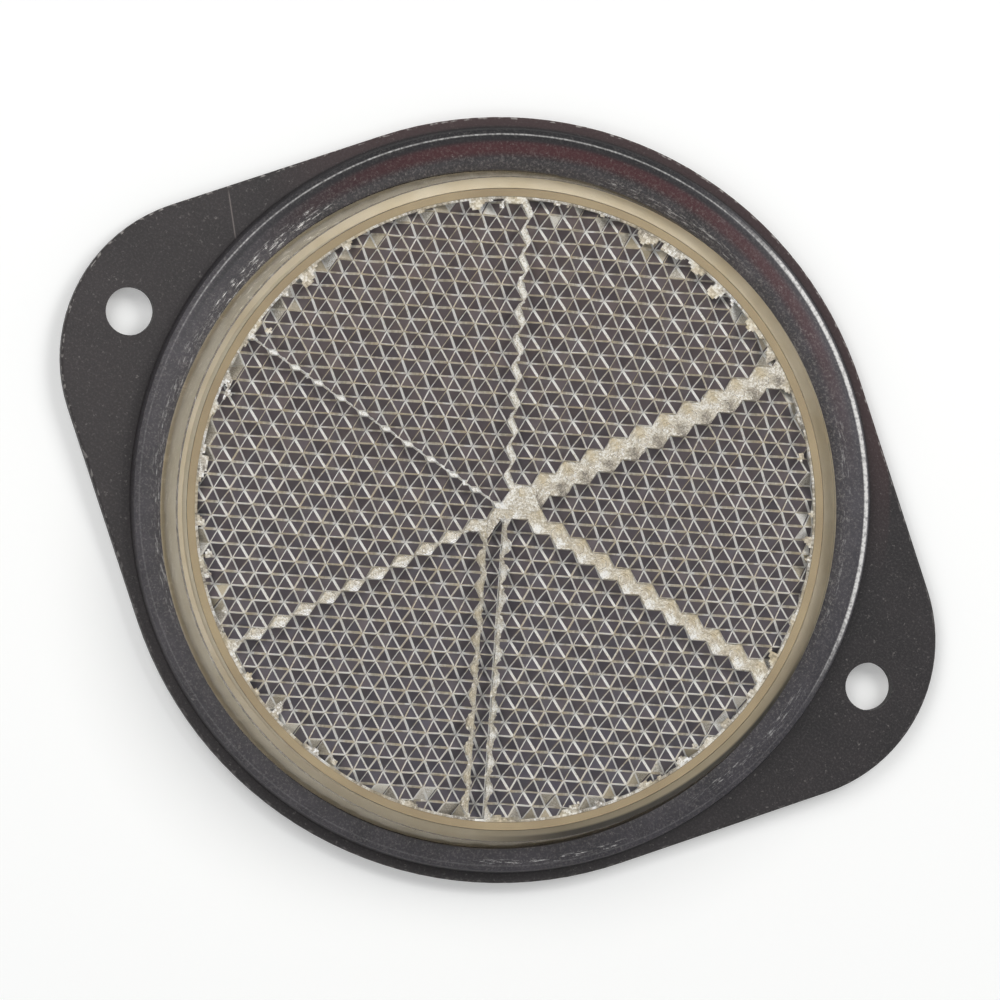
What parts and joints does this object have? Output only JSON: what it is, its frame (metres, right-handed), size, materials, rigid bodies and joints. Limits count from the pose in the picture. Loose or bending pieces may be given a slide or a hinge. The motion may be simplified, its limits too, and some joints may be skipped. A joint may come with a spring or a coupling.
{
  "type": "flange reflector",
  "caption": "Round clear reflex reflector with a six-sector prism field, on a black moulded flange with a raised bead and a screw ear at each side.",
  "frame": {"origin": "middle of the flange's outline, on its flat back face", "axes": "+Z out through the lens's front, +X along the line of the two screw holes"},
  "size_m": [0.0868, 0.07, 0.011],
  "materials": {
    "flange": "black moulded plastic with a soft sheen, scuffed and dusty",
    "lens": "clear polished acrylic",
    "backing": "natural tan plastic, smooth"
  },
  "bodies": {
    "root": {"flange": "flange", "reflex_lens": "lens", "lens_backing": "backing"}
  },
  "joints": []
}
